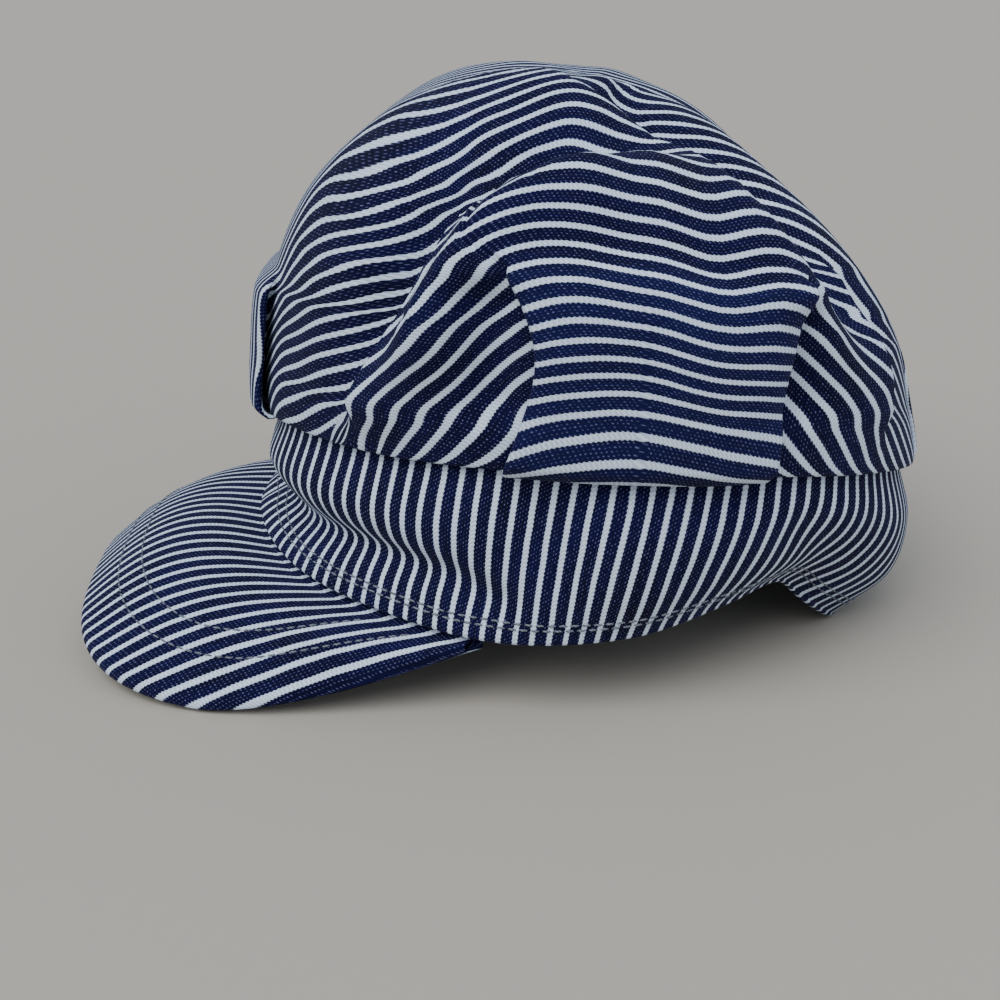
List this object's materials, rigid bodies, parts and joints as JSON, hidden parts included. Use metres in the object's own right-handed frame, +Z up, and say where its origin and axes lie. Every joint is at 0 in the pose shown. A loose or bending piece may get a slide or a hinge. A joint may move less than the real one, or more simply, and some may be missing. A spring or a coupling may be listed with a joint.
{
  "type": "conductor cap",
  "caption": "Soft striped denim cap lying on a surface: puffed crown with box pleats, a deep cloth band and a short stiff curved peak; hollow and open below.",
  "frame": {"origin": "on the surface that the cap lies on, under the middle of its bounding box", "axes": "+Z up; the peak points along -X; the wearer's left side faces -Y"},
  "size_m": [0.2466, 0.1932, 0.1577],
  "materials": {
    "striped_denim": "matte twill, woven navy and white stripes",
    "thread": "matte spun thread"
  },
  "bodies": {
    "root": {"crown": "striped_denim", "band": "striped_denim", "peak": "striped_denim"}
  },
  "joints": []
}
